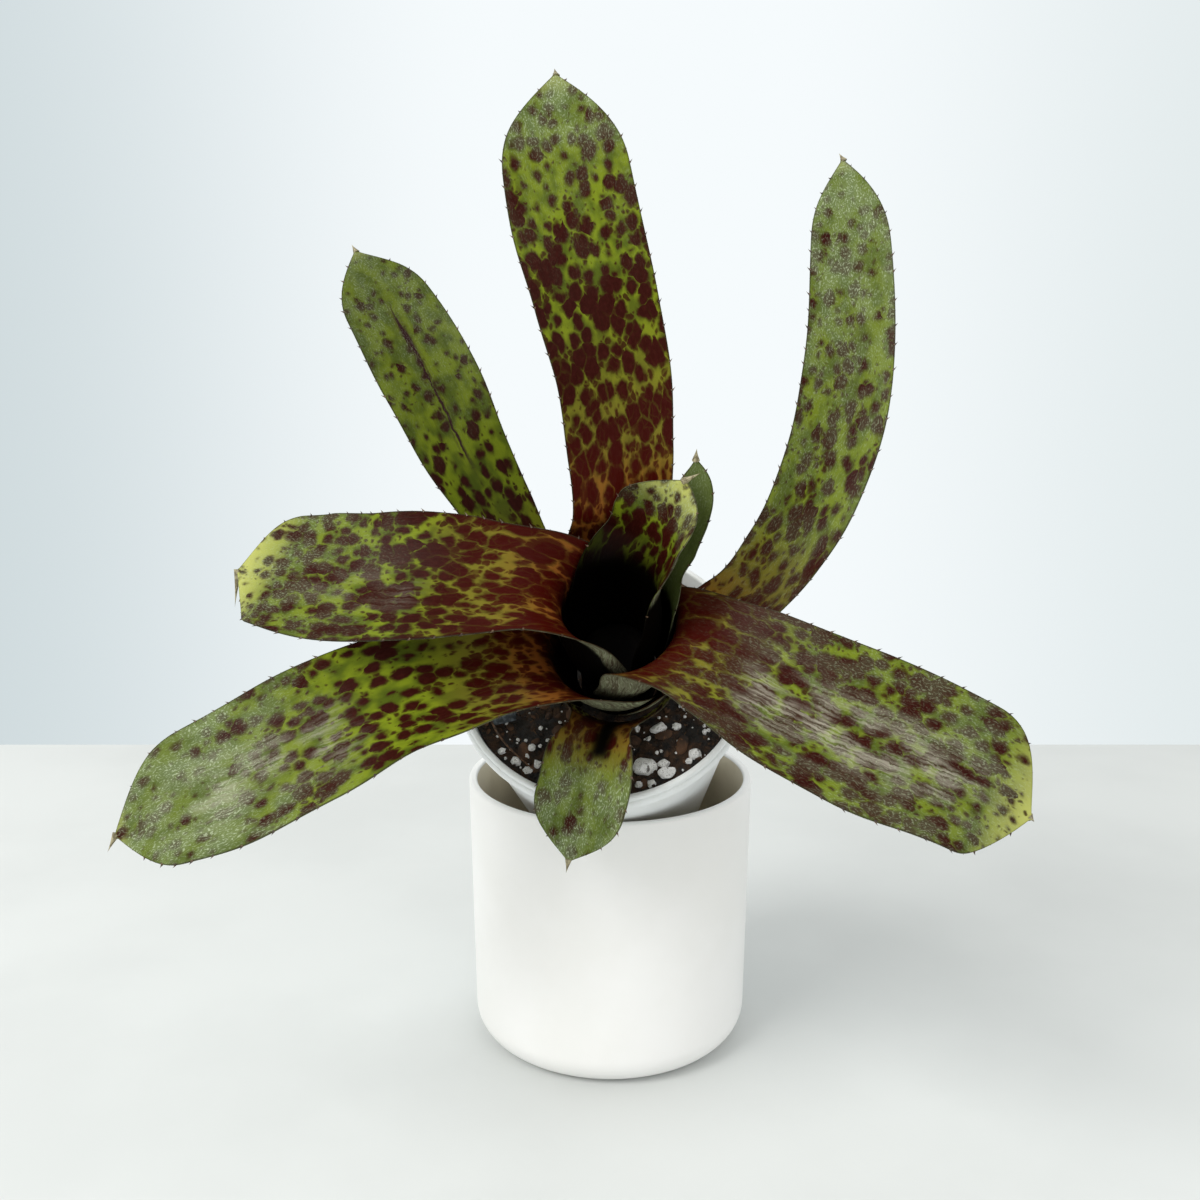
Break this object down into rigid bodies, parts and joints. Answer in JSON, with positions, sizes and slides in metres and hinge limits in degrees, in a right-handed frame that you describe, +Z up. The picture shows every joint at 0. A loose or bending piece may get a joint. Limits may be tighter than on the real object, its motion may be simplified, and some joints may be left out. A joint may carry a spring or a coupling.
{
  "type": "potted neoregelia bromeliad",
  "caption": "Spotted neoregelia bromeliad in a thin nursery pot that leans in the mouth of a plain white round pot.",
  "frame": {"origin": "middle of the white pot's flat foot, on the surface it stands on", "axes": "+Z up along the white pot's axis, -Y towards the side the nursery pot and plant lean to"},
  "size_m": [0.2588, 0.1778, 0.3265],
  "materials": {
    "white_matt_ceramic": "smooth satin",
    "white_plastic": "moulded, slightly matt",
    "bark_and_perlite_mix": "damp bark and peat with white perlite grains",
    "stem_skin": "dull",
    "spotted_leaf": "leathery with a soft gloss",
    "plain_green_leaf": "leathery with a soft gloss"
  },
  "bodies": {
    "root": {"outer_pot": "white_matt_ceramic", "nursery_pot": "white_plastic", "soil": "bark_and_perlite_mix", "stem": "stem_skin", "leaf_hood": "spotted_leaf", "leaf_left": "spotted_leaf", "leaf_inner_back": "plain_green_leaf", "leaf_right": "spotted_leaf", "leaf_back_tall": "spotted_leaf", "leaf_front_left": "spotted_leaf", "leaf_back_right": "spotted_leaf", "leaf_back_left": "spotted_leaf", "leaf_front_small": "spotted_leaf"}
  },
  "joints": []
}
